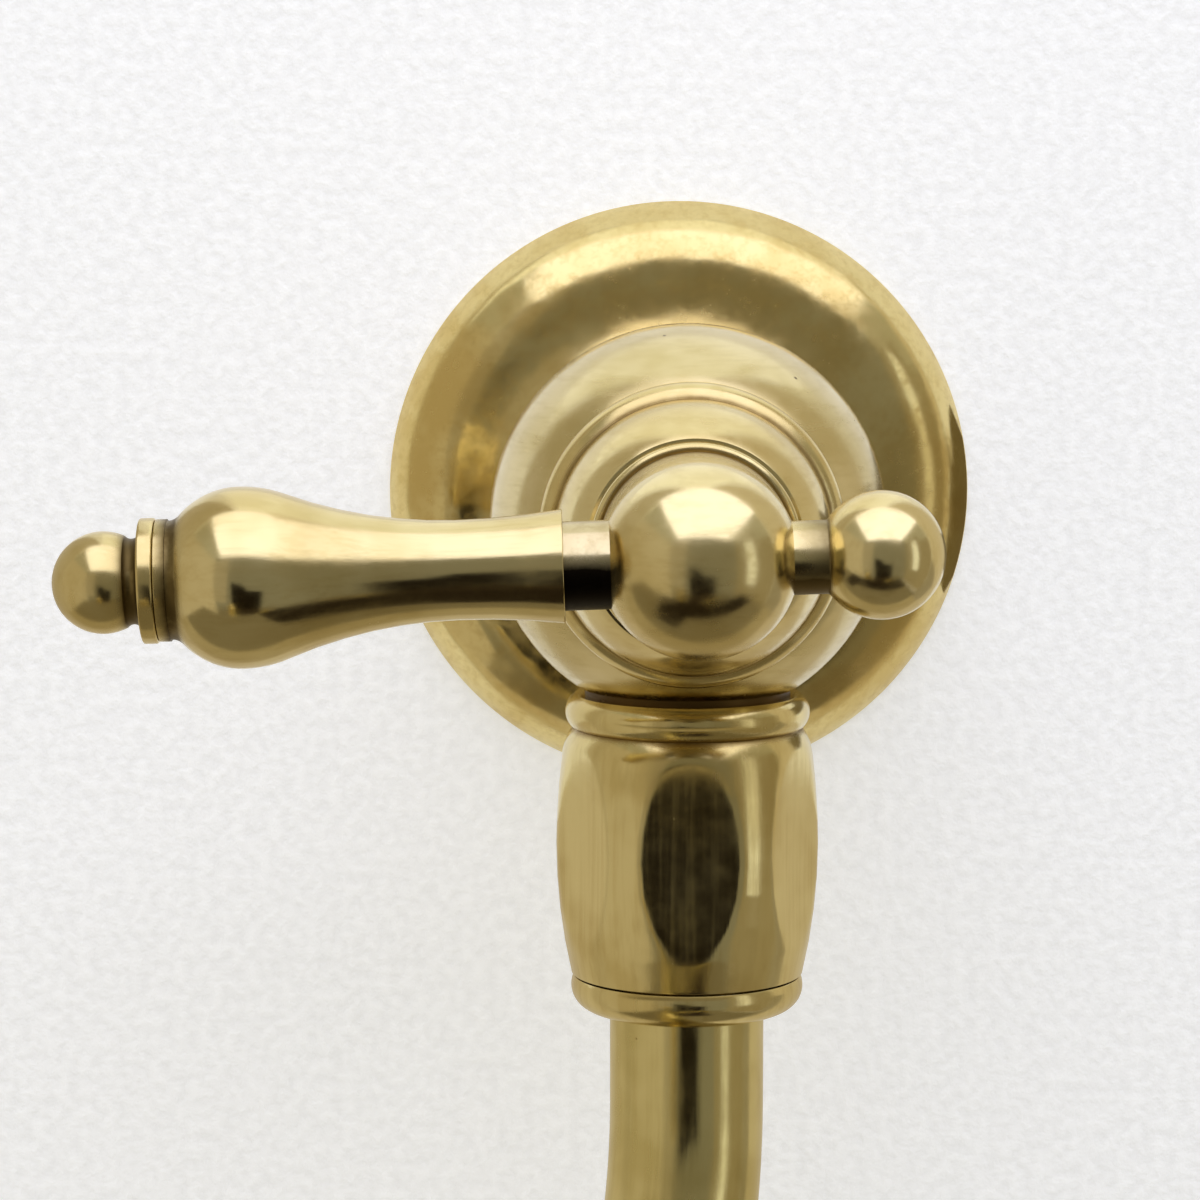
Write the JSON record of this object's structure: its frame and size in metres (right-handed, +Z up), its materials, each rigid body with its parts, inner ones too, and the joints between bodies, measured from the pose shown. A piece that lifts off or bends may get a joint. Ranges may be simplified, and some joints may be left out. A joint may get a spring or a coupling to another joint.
{
  "type": "wall mounted pot filler",
  "caption": "Polished brass wall tap for filling pots: round wall flange, ball valve body with a turned lever, and a jointed swing arm of bent tube that ends in a downward outlet.",
  "frame": {"origin": "centre of the wall flange's back face, on the wall plane and on the axis of the inlet shank", "axes": "+Z up, -Y out of the wall along the valve's axis, +X to the right of a person who faces the wall"},
  "size_m": [0.227, 0.4015, 0.3235],
  "materials": {
    "polished_brass": "bare brass, polished and slightly hazed, with fine wiping marks",
    "machined_brass": "bare brass as turned, dull",
    "tarnished_brass": "bare brass, darkened brown where it isn't wiped",
    "stainless_steel": "plain stainless steel",
    "black_rubber": "matt black rubber",
    "white_ceramic": "lapped white ceramic",
    "white_plastic": "white low friction plastic",
    "grey_plastic": "moulded light grey plastic"
  },
  "bodies": {
    "wall_valve": {"wall_flange": "polished_brass", "flange_set_screw": "stainless_steel", "flange_seal": "black_rubber", "inlet_shank": "machined_brass", "inlet_strainer": "stainless_steel", "valve_body": "polished_brass", "bonnet": "polished_brass", "headwork_housing": "machined_brass", "headwork_base_seal": "black_rubber", "fixed_ceramic_disc": "white_ceramic", "headwork_o_ring": "black_rubber", "barrel_nut": "polished_brass", "upper_thrust_washer": "white_plastic", "lower_thrust_washer": "white_plastic"},
    "handle": {"stem": "machined_brass", "moving_ceramic_disc": "white_ceramic", "stem_o_rings": "black_rubber", "stem_clip": "stainless_steel", "handle_hub": "polished_brass", "hub_set_screw": "stainless_steel", "lever_stud": "tarnished_brass", "lever": "polished_brass", "lever_finial": "polished_brass", "hub_finial": "polished_brass"},
    "first_arm": {"swivel_tail": "machined_brass", "swivel_o_rings": "black_rubber", "ferrule": "polished_brass", "first_arm_tube": "polished_brass", "elbow_collar": "polished_brass", "ball_elbow": "polished_brass", "elbow_barrel_nut": "polished_brass", "elbow_upper_thrust_washer": "white_plastic", "elbow_lower_thrust_washer": "white_plastic"},
    "second_arm": {"elbow_swivel_tail": "machined_brass", "elbow_swivel_o_rings": "black_rubber", "elbow_ferrule": "polished_brass", "second_arm_tube": "polished_brass", "spout_collar": "polished_brass", "aerator_washer": "black_rubber", "aerator_screen": "stainless_steel", "aerator_shell": "polished_brass", "aerator_insert": "grey_plastic"}
  },
  "joints": [
    {"name": "handle_turn", "type": "hinge", "parent": "wall_valve", "child": "handle", "pos_m": [0, -0.085, 0], "axis": [0, 1, 0], "range_deg": [0, 90]},
    {"name": "first_arm_swing", "type": "hinge", "parent": "wall_valve", "child": "first_arm", "pos_m": [0, -0.041, -0.112], "axis": [0, 0, 1], "range_deg": [-69, 109]},
    {"name": "second_arm_swing", "type": "hinge", "parent": "first_arm", "child": "second_arm", "pos_m": [-0.08208, -0.26653, -0.145], "axis": [0, 0, 1], "continuous": true}
  ]
}
